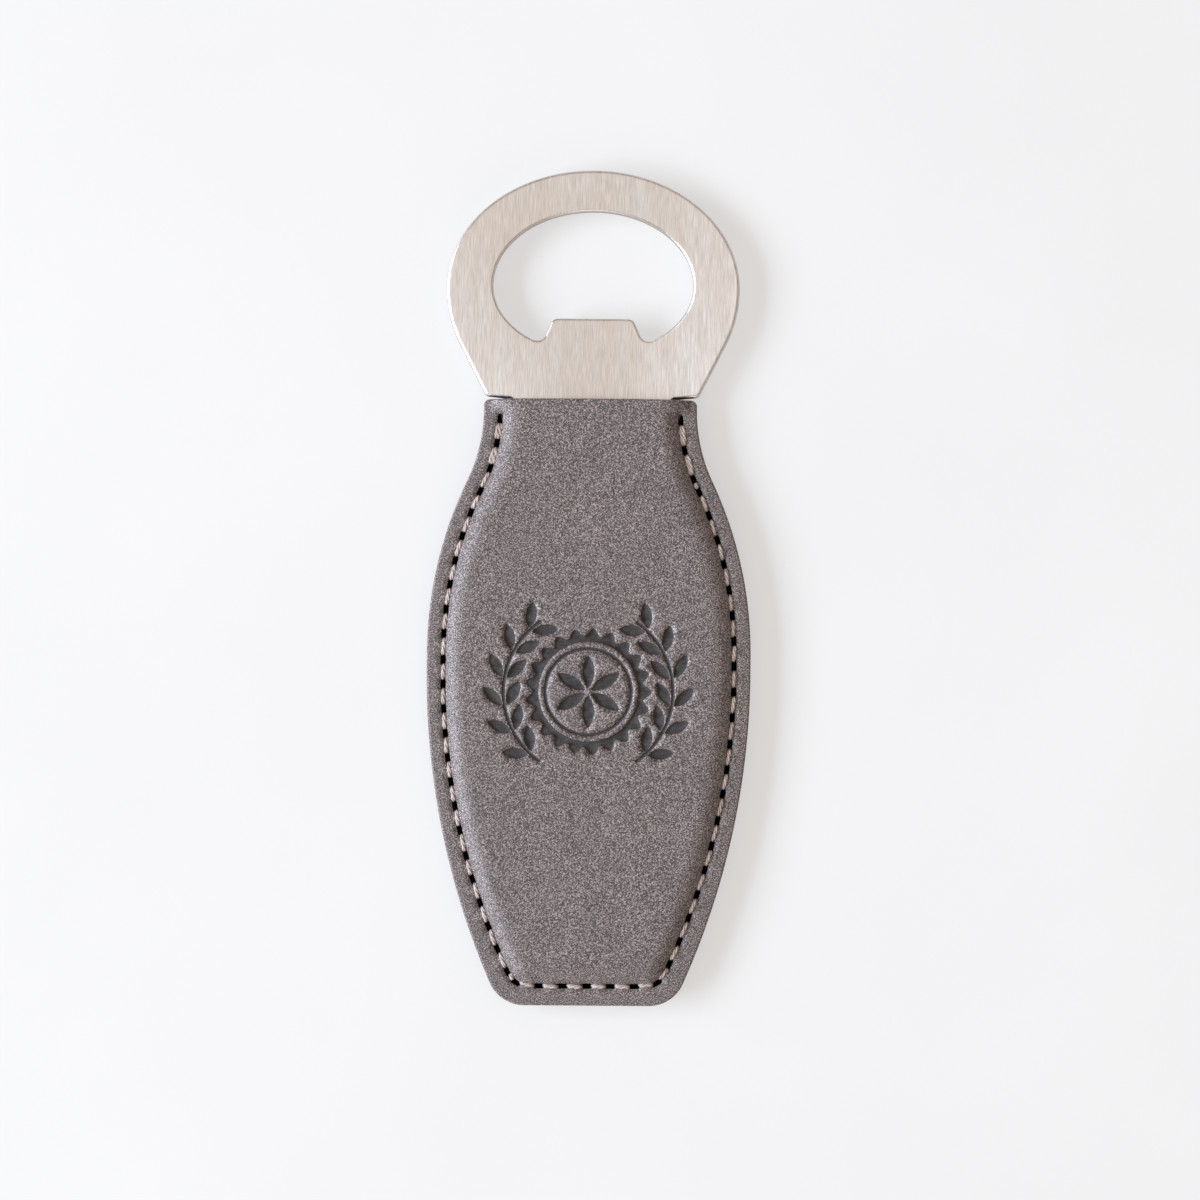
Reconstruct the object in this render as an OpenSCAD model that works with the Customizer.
// Flat bottle opener: a stamped steel head on a stitched, padded leatherette handle.
// +Y points to the steel head, +X to the right of the front, and +Z out of the front panel.
// The origin is under the middle of the object, on the plane that its back panel rests on.

/* [Handle outline] */
// Length from the bottom edge of the handle to the top of the steel head
overall_length = 133.4; // [130:0.1:138]
// Length of the leatherette handle, at its middle
handle_length = 96.8; // [94:0.1:100]
// Greatest width of the handle
handle_width = 51.7; // [50:0.1:54]
// Width of the neck, where the steel goes in
neck_width = 34; // [33:0.1:36]
// Length of the straight neck beside the mouth
neck_straight = 1.5; // [0.5:0.1:3]
// Radius of the hollow curve below the neck
neck_radius = 26.7; // [22:0.1:32]
// Radius of the flank above the widest point
upper_flank_radius = 64; // [58:1:70]
// Radius of the flank below the widest point
lower_flank_radius = 123; // [112:1:130]
// Straight stretch at the widest point
waist_straight = 3; // [1:0.5:5]
// Radius of the two bottom corners
bottom_corner_radius = 6; // [5:0.5:8]
// Radius of the two corners beside the mouth
mouth_corner_radius = 1; // [0.4:0.1:2]
// How much the mouth edge rises at its middle
mouth_crown = 0.1; // [0:0.1:1]

/* [Layers] */
// Thickness of the leatherette sheet
cover_thickness = 1.1; // [0.8:0.1:1.4]
// Thickness of each foam padding
padding_thickness = 0.6; // [0.4:0.1:1]
// Thickness of the adhesive films and the seam tape
film_thickness = 0.1; // [0.05:0.05:0.2]
// Thickness of the steel plate and of the board beside it
plate_thickness = 1.8; // [1.6:0.1:2]

/* [Raised panel] */
// Width of the flat rim between the cut edge and the raised panel, at the sides
rim_width = 3.1; // [3.1:0.1:3.4]
// How much wider the rim and the seam allowance are along the bottom
bottom_rim_extra = 0.5; // [0:0.1:1]
// Distance over which the panel rises to its full height
rise_width = 3.5; // [3.2:0.1:4]
// How steeply the panel rises beside the seam
rise_power = 2.8; // [2.7:0.1:3.4]

/* [Seam] */
// Distance of the seam from the cut edge, at the sides
seam_inset = 2.55; // [2.3:0.05:2.6]
// Distance of the first needle hole from the mouth
seam_start = 3.2; // [2:0.1:4]
// Stitch length along the sides, before it is evened out
stitch_length = 4; // [3.5:0.1:5]
// Stitch length along the bottom
bottom_stitch_length = 3.8; // [3.4:0.05:4.2]
// Length of the short stitch at the left bottom corner and of the one near the right end
short_stitch = 2.2; // [1.8:0.1:3]
// Length of the two last stitches at the right end
end_stitch_length = 4.8; // [4:0.1:5]
// Diameter of a needle hole
needle_hole = 0.95; // [0.8:0.05:1]
// Diameter of the thread
thread_diameter = 0.6; // [0.5:0.05:0.7]

/* [Steel head] */
// Width of the head
head_width = 46.8; // [45:0.2:50]
// Height of the head above its widest point
head_rise = 18.9; // [18:0.1:20]
// Depth of the oval that the head follows below its widest point
head_depth = 21.5; // [20:0.1:22.5]
// Width across the shoulders
shoulder_width = 34; // [32:0.2:36]
// Height of the shoulders above the middle of the mouth edge
shoulder_gap = 0.4; // [0.4:0.1:1.5]
// Width of the tang that goes into the handle
tang_width = 25.5; // [24:0.1:26]
// Length of the tang inside the handle
tang_length = 62; // [40:1:75]
// How far the plate sits to the right in its pocket
plate_play = 0.3; // [-0.3:0.1:0.3]

/* [Cap hole] */
// Width of the hole that takes the cap
hole_width = 32; // [30:0.2:33]
// Height of the hole's middle below the top of the head
hole_drop = 18.4; // [17.5:0.1:19]
// Height of the hole above its middle
hole_rise = 11.8; // [11:0.1:12.5]
// Depth of the hole below its middle
hole_depth = 10.9; // [10:0.1:11.4]
// Width of the lifting tooth at its flat top
tooth_width = 12.8; // [11:0.2:14]
// Height of the tooth's top below the hole's middle
tooth_drop = 5.3; // [4.5:0.1:6]
// Lean of the tooth's flanks
tooth_lean = 23; // [15:1:30]

/* [Engraved emblem] */
// Depth of the engraving
engraving_depth = 0.12; // [0.05:0.01:0.2]
// Height of the emblem's middle, measured from the middle of the object
emblem_y = -16.5; // [-20:0.5:-10]
// Width of the emblem
emblem_width = 35; // [28:0.5:36]
// Number of teeth on the cap in the emblem
cap_teeth = 21; // [15:1:27]
// Number of leaf pairs on each sprig
leaf_pairs = 6; // [4:1:7]

/* [Hidden] */
$fn = 48;

// Heights of the layers. The stack is the same above and below its middle plane.
total_thickness = 2 * (cover_thickness + padding_thickness + film_thickness) + plate_thickness;
mid_z = total_thickness / 2;
plate_top = mid_z + plate_thickness / 2;
film_top = plate_top + film_thickness;
padding_top = film_top + padding_thickness;
rim_bottom = mid_z + film_thickness / 2;
rim_top = rim_bottom + cover_thickness;
panel_rise = total_thickness - rim_top;

// Handle outline. Each arc is [centre, radius, first angle, last angle], from the mouth down.
bottom_y = -overall_length / 2;
mouth_y = bottom_y + handle_length;
neck_y = mouth_y - mouth_crown - neck_straight;
flank_step = (handle_width - neck_width) / 2;
arcs_reach = neck_radius + upper_flank_radius;
neck_sweep = acos((arcs_reach - flank_step) / arcs_reach);
waist_top = neck_y - arcs_reach * sin(neck_sweep);
waist_bottom = waist_top - waist_straight;
smallest_corner = 1.5;
// The extra at the bottom fades away up the lower flank: its radius shrinks by this many times
flank_taper = 15;
arc_steps = [6, 7, 9, 6];

// Panel rings, as distances from the cut edge: close together where the panel is steepest
ring_shares = [0, 0.1, 0.22, 0.38, 0.62, 1];
padding_first_ring = 3;
rim_inner_x = neck_width / 2 - rim_width;
mouth_steps = 8;
mouth_setback = 1;
tape_inset = 0.4;
tape_setback = 0.6;
fit_gap = 0.02;

// Steel head
head_top = overall_length / 2;
head_y = head_top - head_rise;
hole_y = head_top - hole_drop;
shoulder_y = mouth_y + shoulder_gap;
shoulder_slope = 0.4;
shoulder_radius = 1;
root_radius = 0.5;
tang_corner_radius = 4;
lobe_radius = 1.5;
tooth_radius = 1.2;
tang_end = mouth_y - tang_length;
slot_gap = 0.5;
board_setback = 14;
board_top = mouth_y - board_setback;
board_rim = 1;
oval_step = 4;

function mirrored(points) = [for (p = points) [-p[0], p[1]]];
function reversed(list) = [for (i = [len(list) - 1 : -1 : 0]) list[i]];
function unit(v) = v / norm(v);
function on_arc(arc, share) =
    let (angle = arc[2] + share * (arc[3] - arc[2]))
    arc[0] + arc[1] * [cos(angle), sin(angle)];
function arc_points(arc, steps) = [for (i = [0 : steps]) on_arc(arc, i / steps)];

// An arc of the given radius that rounds the corner b of the path a, b, c
function rounded(a, b, c, radius, steps = 5) =
    let (
        u = unit(a - b), v = unit(c - b),
        half = acos(u * v) / 2,
        centre = b + unit(u + v) * radius / sin(half),
        first = b + u * radius / tan(half) - centre,
        last = b + v * radius / tan(half) - centre,
        start = atan2(first[1], first[0]),
        turn = atan2(last[1], last[0]) - start,
        sweep = turn > 180 ? turn - 360 : turn < -180 ? turn + 360 : turn
    )
    arc_points([centre, radius, start, start + sweep], steps);

// Height of the mouth edge at a distance x from the middle
function mouth_at(x) = mouth_y - mouth_crown * pow(2 * x / neck_width, 2);

// The arcs of the right side, at a distance from the cut edge and with some extra at the bottom
function side_arcs(inset, extra) =
    let (
        corner = max(bottom_corner_radius - inset, smallest_corner),
        flank_radius = lower_flank_radius - extra * flank_taper,
        flank_x = handle_width / 2 - flank_radius,
        corner_y = bottom_y + inset + extra + corner,
        reach = flank_radius - inset - corner,
        flank_angle = asin((corner_y - waist_bottom) / reach),
        corner_x = flank_x + reach * cos(flank_angle)
    )
    [
        [[neck_width / 2 + neck_radius, neck_y], neck_radius + inset, 180, 180 + neck_sweep],
        [[handle_width / 2 - upper_flank_radius, waist_top], upper_flank_radius - inset, neck_sweep, 0],
        [[flank_x, waist_bottom], flank_radius - inset, 0, flank_angle],
        [[corner_x, corner_y], corner, flank_angle, -90]
    ];

// The right side as points, from the mouth to the end of the bottom corner
function side_points(inset, extra) =
    let (arcs = side_arcs(inset, extra))
    [for (k = [0 : len(arcs) - 1]) each arc_points(arcs[k], arc_steps[k])];

// The mouth edge between two places that are a distance x from the middle, from left to right
function mouth_points(x, setback) =
    [for (i = [1 : mouth_steps - 1])
        let (u = x * (2 * i / mouth_steps - 1)) [u, mouth_at(u) - setback]];

// A ring of the panel: its right side from the mouth down, its corner at the mouth included
function ring_side(inset, extra, setback) =
    let (x = neck_width / 2 - inset)
    concat([[x, mouth_at(x) - setback]], side_points(inset, extra));

function ring_outline(inset, extra, setback) =
    let (side = ring_side(inset, extra, setback))
    concat(side, reversed(mirrored(side)), mouth_points(neck_width / 2 - inset, setback));

function cut_edge() =
    let (
        x = neck_width / 2 - mouth_corner_radius,
        corner = arc_points([[x, mouth_at(x) - mouth_corner_radius], mouth_corner_radius, 90, 0], 4),
        side = concat(corner, side_points(0, 0))
    )
    concat(side, reversed(mirrored(side)), mouth_points(x, 0));

// Share of the panel's rise that is reached at a share of the rise's width
function risen(share) = 1 - pow(1 - share, rise_power);

function ring_inset(k) = rim_width + rise_width * ring_shares[k];
function ring_lift(k) = panel_rise * risen(ring_shares[k]);

// The seam's right half: the distances are measured from the middle of the bottom edge
seam_arcs = reversed(side_arcs(seam_inset, bottom_rim_extra));
seam_bottom = on_arc(seam_arcs[0], 1);
seam_neck_x = neck_width / 2 - seam_inset;
seam_top = [seam_neck_x, mouth_at(seam_neck_x) - seam_start];

function arc_length(arc) = arc[1] * abs(arc[3] - arc[2]) * PI / 180;
function back_along(arc, distance) = on_arc(arc, 1 - distance / arc_length(arc));

// Lengths of the seam's stretches: bottom, corner, lower flank, waist, upper flank, neck curve
seam_lengths = [
    seam_bottom[0], arc_length(seam_arcs[0]), arc_length(seam_arcs[1]), waist_straight,
    arc_length(seam_arcs[2]), arc_length(seam_arcs[3]), seam_top[1] - neck_y
];
function total(list, count) = count <= 0 ? 0 : list[count - 1] + total(list, count - 1);
seam_half = total(seam_lengths, len(seam_lengths));

function seam_stretch(s, k = 0) =
    k == len(seam_lengths) - 1 || s < total(seam_lengths, k + 1) ? k : seam_stretch(s, k + 1);

function seam_point(s) =
    let (k = seam_stretch(s), along = s - total(seam_lengths, k))
    k == 0 ? [s, seam_bottom[1]] :
    k == 1 ? back_along(seam_arcs[0], along) :
    k == 2 ? back_along(seam_arcs[1], along) :
    k == 3 ? [handle_width / 2 - seam_inset, waist_bottom + along] :
    k == 4 ? back_along(seam_arcs[2], along) :
    k == 5 ? back_along(seam_arcs[3], along) :
    [seam_neck_x, neck_y + along];

// The thread is pressed flat, and two of its legs share each hole
thread_leg = 0.4 * needle_hole;
thread_width = 0.52 * needle_hole;

// Needle holes, as distances along the seam from the middle of the bottom
function bottom_row(count) = [for (i = [1 : count]) i * bottom_stitch_length];
function even_row(from, to) =
    let (count = round((to - from) / stitch_length))
    [for (i = [1 : count]) from + i * (to - from) / count];

right_bottom_stitches = 5;
right_end_stitches = 2;
right_even_end = seam_half - right_end_stitches * end_stitch_length - short_stitch;
right_lengths = concat(
    bottom_row(right_bottom_stitches),
    even_row(right_bottom_stitches * bottom_stitch_length, right_even_end),
    [for (i = [right_end_stitches : -1 : 0]) seam_half - i * end_stitch_length]
);

left_bottom_stitches = 3;
left_even_start = left_bottom_stitches * bottom_stitch_length + short_stitch;
left_lengths = concat(
    bottom_row(left_bottom_stitches),
    [left_even_start],
    even_row(left_even_start, seam_half)
);

// The holes in the order that the needle makes them: right end, bottom, left end
needle_holes = concat(
    [for (s = reversed(right_lengths)) seam_point(s)],
    [seam_point(0)],
    mirrored([for (s = left_lengths) seam_point(s)])
);

// Steel outline
function oval(a, b, from, to, y) =
    let (steps = ceil(abs(to - from) / oval_step))
    [for (i = [0 : steps]) let (t = from + (to - from) * i / steps) [a * cos(t), y + b * sin(t)]];

// Angle at which a line from the shoulder touches the head's oval
function shoulder_touch() =
    let (u = shoulder_width / head_width, v = (shoulder_y - head_y) / head_depth)
    atan2(v, u) + acos(1 / norm([u, v]));

module slab(low, high) {
    translate([0, 0, low]) linear_extrude(height = high - low) children();
}

// Turns a front layer over to make the matching back layer
module turned_over() {
    translate([0, 0, total_thickness]) mirror([0, 0, 1]) children();
}

module needle_hole_row() {
    for (h = needle_holes) translate(h) circle(d = needle_hole);
}

// A pillow-edged solid. Ring k lies at insets[k] from the cut edge, from bottoms[k] to tops[k].
// Every ring is open at the mouth, where one wall closes the solid.
module pillow(insets, tops, bottoms, setback) {
    rings = len(insets);
    sides = [for (d = insets) ring_side(d, bottom_rim_extra, setback)];
    m = len(sides[0]);
    inner_mouth = mouth_points(neck_width / 2 - insets[rings - 1], setback);
    mouths = 2 * 2 * rings * m;

    // Point numbers: s is 0 on top and 1 below, left is 0 or 1, and i runs down the side
    function at(s, k, left, i) = ((s * rings + k) * 2 + left) * m + i;
    function rim(s, j) = mouths + s * (mouth_steps - 1) + j;
    function facing(s, face) = s == 0 ? face : reversed(face);

    points = concat(
        [for (s = [0, 1]) for (k = [0 : rings - 1]) for (left = [0, 1]) for (p = sides[k])
            [left == 1 ? -p[0] : p[0], p[1], s == 0 ? tops[k] : bottoms[k]]],
        [for (s = [0, 1]) for (p = inner_mouth)
            [p[0], p[1], s == 0 ? tops[rings - 1] : bottoms[rings - 1]]]
    );
    slopes = [for (s = [0, 1]) for (k = [0 : rings - 2]) each concat(
        [for (i = [0 : m - 2])
            facing(s, [at(s, k, 0, i), at(s, k, 0, i + 1), at(s, k + 1, 0, i + 1), at(s, k + 1, 0, i)])],
        [for (i = [0 : m - 2])
            facing(s, [at(s, k, 1, i), at(s, k + 1, 1, i), at(s, k + 1, 1, i + 1), at(s, k, 1, i + 1)])],
        [facing(s, [at(s, k, 0, m - 1), at(s, k, 1, m - 1), at(s, k + 1, 1, m - 1), at(s, k + 1, 0, m - 1)])]
    )];
    flats = [for (s = [0, 1]) each concat(
        [for (i = [0 : m - 2])
            facing(s, [at(s, rings - 1, 1, i), at(s, rings - 1, 0, i),
                at(s, rings - 1, 0, i + 1), at(s, rings - 1, 1, i + 1)])],
        [facing(s, concat([at(s, rings - 1, 1, 0)], [for (j = [0 : mouth_steps - 2]) rim(s, j)],
            [at(s, rings - 1, 0, 0)]))]
    )];
    outer_wall = concat(
        [for (i = [0 : m - 2]) [at(0, 0, 0, i + 1), at(0, 0, 0, i), at(1, 0, 0, i), at(1, 0, 0, i + 1)]],
        [for (i = [0 : m - 2]) [at(0, 0, 1, i), at(0, 0, 1, i + 1), at(1, 0, 1, i + 1), at(1, 0, 1, i)]],
        [[at(0, 0, 1, m - 1), at(0, 0, 0, m - 1), at(1, 0, 0, m - 1), at(1, 0, 1, m - 1)]]
    );
    function mouth_line(s) = concat(
        [for (k = [0 : rings - 1]) at(s, k, 0, 0)],
        [for (j = [mouth_steps - 2 : -1 : 0]) rim(s, j)],
        [for (k = [rings - 1 : -1 : 0]) at(s, k, 1, 0)]
    );
    above = mouth_line(0);
    below = mouth_line(1);
    mouth_wall = [for (i = [0 : len(above) - 2]) [above[i], above[i + 1], below[i + 1], below[i]]];
    polyhedron(points = points, faces = concat(slopes, flats, outer_wall, mouth_wall), convexity = 6);
}

// The emblem: a crown cap seen from above, between two leafy sprigs
emblem_radius = emblem_width / 2;
cap_outer = 0.54 * emblem_radius;
cap_wave = 0.035 * emblem_radius;
sprig_radius = 0.77 * emblem_radius;
sprig_reach = 56;
stem_width = 0.5;
leaf_length = 0.24 * emblem_radius;
leaf_width = 0.1 * emblem_radius;

// A pointed leaf along +X, its stalk end at the origin
module leaf(length, width) {
    radius = (length * length + width * width) / (4 * width);
    translate([length / 2, 0]) intersection() {
        translate([0, radius - width / 2]) circle(r = radius);
        translate([0, width / 2 - radius]) circle(r = radius);
    }
}

module cap_ring() {
    difference() {
        polygon([for (i = [0 : 6 * cap_teeth - 1])
            let (t = i * 60 / cap_teeth)
            (cap_outer + cap_wave * cos(cap_teeth * t)) * [cos(t), sin(t)]]);
        circle(r = 0.84 * cap_outer);
    }
}

module thin_ring() {
    difference() {
        circle(r = 0.75 * cap_outer);
        circle(r = 0.7 * cap_outer);
    }
}

module stem() {
    steps = 16;
    polygon([
        for (i = [0 : steps]) let (t = sprig_reach * (2 * i / steps - 1))
            (sprig_radius + stem_width / 2) * [cos(t), sin(t)],
        for (i = [steps : -1 : 0]) let (t = sprig_reach * (2 * i / steps - 1))
            (sprig_radius - stem_width / 2) * [cos(t), sin(t)]
    ]);
}

module sprig_leaf(number, outward) {
    climb = -sprig_reach + (number + 0.5) * 2 * sprig_reach / leaf_pairs;
    rotate(climb) translate([sprig_radius + outward * 0.35, 0]) rotate(90 - outward * 38)
        leaf(leaf_length, leaf_width);
}

module cut() {
    slab(total_thickness - engraving_depth, total_thickness + 1) children();
}

module engraving() {
    translate([0, emblem_y, 0]) {
        cut() cap_ring();
        cut() thin_ring();
        for (k = [0 : 5]) cut() rotate(60 * k + 30) translate([0.06 * cap_outer, 0])
            leaf(0.55 * cap_outer, 0.2 * cap_outer);
        for (side = [0, 1]) mirror([side, 0, 0]) {
            cut() stem();
            for (n = [0 : leaf_pairs - 1]) for (outward = [-1, 1]) cut() sprig_leaf(n, outward);
        }
    }
}

// Sub-parts

module opener_plate() {
    touch = shoulder_touch();
    side_oval = concat(
        oval(head_width / 2, head_rise, 90, 0, head_y),
        [for (p = oval(head_width / 2, head_depth, 0, touch, head_y)) if (p[1] < head_y) p]
    );
    shoulder = [shoulder_width / 2, shoulder_y];
    root = [tang_width / 2, shoulder_y - shoulder_slope];
    tang_corner = [tang_width / 2, tang_end];
    side = concat(
        side_oval,
        rounded(side_oval[len(side_oval) - 1], shoulder, root, shoulder_radius),
        rounded(shoulder, root, tang_corner, root_radius),
        rounded(root, tang_corner, [0, tang_end], tang_corner_radius)
    );
    color("lightsteelblue") slab(mid_z - plate_thickness / 2, plate_top) translate([plate_play, 0])
        difference() {
            polygon(concat(side, reversed(mirrored(side))));
            cap_hole();
        }
}

// The hole that takes the cap, with the lifting tooth left standing at its lower edge
module cap_hole() {
    a = hole_width / 2;
    tooth_y = hole_y - tooth_drop;
    tooth_top = [tooth_width / 2, tooth_y];
    // The flank runs down until it meets the hole's oval
    foot = tooth_foot(tooth_top, tooth_top + hole_depth * [sin(tooth_lean), -cos(tooth_lean)]);
    foot_angle = -acos(foot[0] / a);
    below = oval(a, hole_depth, 0, foot_angle, hole_y);
    last = len(below) - 1;
    side = concat(
        oval(a, hole_rise, 90, 0, hole_y),
        [for (i = [1 : last - 3]) below[i]],
        rounded(below[last - 2], below[last], tooth_top, lobe_radius),
        rounded(below[last], tooth_top, [0, tooth_y], tooth_radius)
    );
    polygon(concat(side, reversed(mirrored(side))));
}

function outside_hole(p) = norm([2 * p[0] / hole_width, (p[1] - hole_y) / hole_depth]) > 1;
function tooth_foot(inner, outer, tries = 24) =
    let (middle = (inner + outer) / 2)
    tries == 0 ? middle :
    outside_hole(middle) ? tooth_foot(inner, middle, tries - 1) : tooth_foot(middle, outer, tries - 1);

module core_board() {
    slot_x = tang_width / 2 + slot_gap;
    color("burlywood") slab(mid_z - plate_thickness / 2, plate_top) difference() {
        polygon(ring_outline(rim_width + board_rim, bottom_rim_extra, 0));
        translate([-slot_x, tang_end - slot_gap]) square([2 * slot_x, handle_length]);
        translate([-handle_width / 2, board_top]) square([handle_width, handle_length]);
    }
}

module bond_film() {
    slab(plate_top, film_top)
        polygon(ring_outline(ring_inset(padding_first_ring), bottom_rim_extra, mouth_setback));
}

module padding() {
    rings = [padding_first_ring : len(ring_shares) - 1];
    pillow(
        [for (k = rings) ring_inset(k)],
        [for (k = rings) rim_bottom + ring_lift(k) - fit_gap],
        [for (k = rings) film_top],
        mouth_setback
    );
}

module cover() {
    rings = [0 : len(ring_shares) - 1];
    slab(rim_bottom, rim_top) difference() {
        polygon(cut_edge());
        polygon(ring_outline(rim_width, bottom_rim_extra, 0));
        translate([-rim_inner_x, mouth_y - mouth_setback]) square([2 * rim_inner_x, 2 * mouth_setback]);
        needle_hole_row();
    }
    pillow(
        [for (k = rings) ring_inset(k)],
        [for (k = rings) rim_top + ring_lift(k)],
        [for (k = rings) rim_bottom + ring_lift(k)],
        0
    );
}

module front_bond_film() color("khaki") bond_film();
module back_bond_film() color("khaki") turned_over() bond_film();
module front_padding() color("gainsboro") padding();
module back_padding() color("gainsboro") turned_over() padding();
module back_cover() color("dimgray") turned_over() cover();

module front_cover() {
    color("gray") difference() {
        cover();
        engraving();
    }
}

module seam_tape() {
    color("wheat") slab(mid_z - film_thickness / 2, rim_bottom) difference() {
        polygon(ring_outline(tape_inset, 0, tape_setback));
        polygon(ring_outline(rim_width - film_thickness, bottom_rim_extra, -2 * mouth_setback));
        needle_hole_row();
    }
}

// One run of thread: a bar lies on the rim between two holes, and dips into each hole with a post
// that reaches the middle plane. Each hole has three sections: before it, at it and after it.
module seam_run(holes) {
    last = len(holes) - 1;
    low = mid_z;
    top = rim_top + thread_diameter;
    steps = [for (i = [0 : last - 1]) unit(holes[i + 1] - holes[i])];

    function sideways(i) = thread_width / 2 * [-steps[i][1], steps[i][0]];
    function section(place, side, heights) = [
        for (p = [place + side, place - side]) for (z = heights) [p[0], p[1], z]
    ];
    function hole_points(i) =
        let (before = max(i - 1, 0), after = min(i, last - 1), a = sideways(before), b = sideways(after))
        concat(
            section(holes[i] - thread_leg * steps[before], a, [low, rim_top, top]),
            section(holes[i], (a + b) / (1 + steps[before] * steps[after]), [low, rim_top]),
            section(holes[i] + thread_leg * steps[after], b, [low, rim_top, top])
        );
    // Point numbers at one hole: left side low, rim and top, then the right side the same way
    function numbered(i, face) = [for (n = face) 16 * i + n];
    post_faces = [
        [9, 8, 3, 4, 5], [7, 2, 1, 0, 6], [9, 15, 14, 13, 8], [7, 6, 10, 11, 12],
        [2, 7, 9, 5], [7, 12, 15, 9], [3, 8, 6, 0], [8, 13, 10, 6]
    ];
    bar_faces = [[14, 15, 21, 20], [17, 18, 12, 11], [12, 18, 21, 15], [14, 20, 17, 11]];

    polyhedron(
        points = [for (i = [0 : last]) each hole_points(i)],
        faces = concat(
            [for (i = [0 : last]) for (f = post_faces) numbered(i, f)],
            [for (i = [0 : last - 1]) for (f = bar_faces) numbered(i, f)],
            [for (i = [0 : last]) each [numbered(i, [1, 4, 3, 0]), numbered(i, [14, 11, 10, 13])]],
            [numbered(0, [1, 2, 5, 4]), numbered(last, [14, 15, 12, 11])]
        ),
        convexity = 10
    );
}

module needle_thread() color("pink") seam_run(needle_holes);
module bobbin_thread() color("pink") turned_over() seam_run(needle_holes);

opener_plate();
core_board();
front_bond_film();
back_bond_film();
front_padding();
back_padding();
seam_tape();
front_cover();
back_cover();
needle_thread();
bobbin_thread();
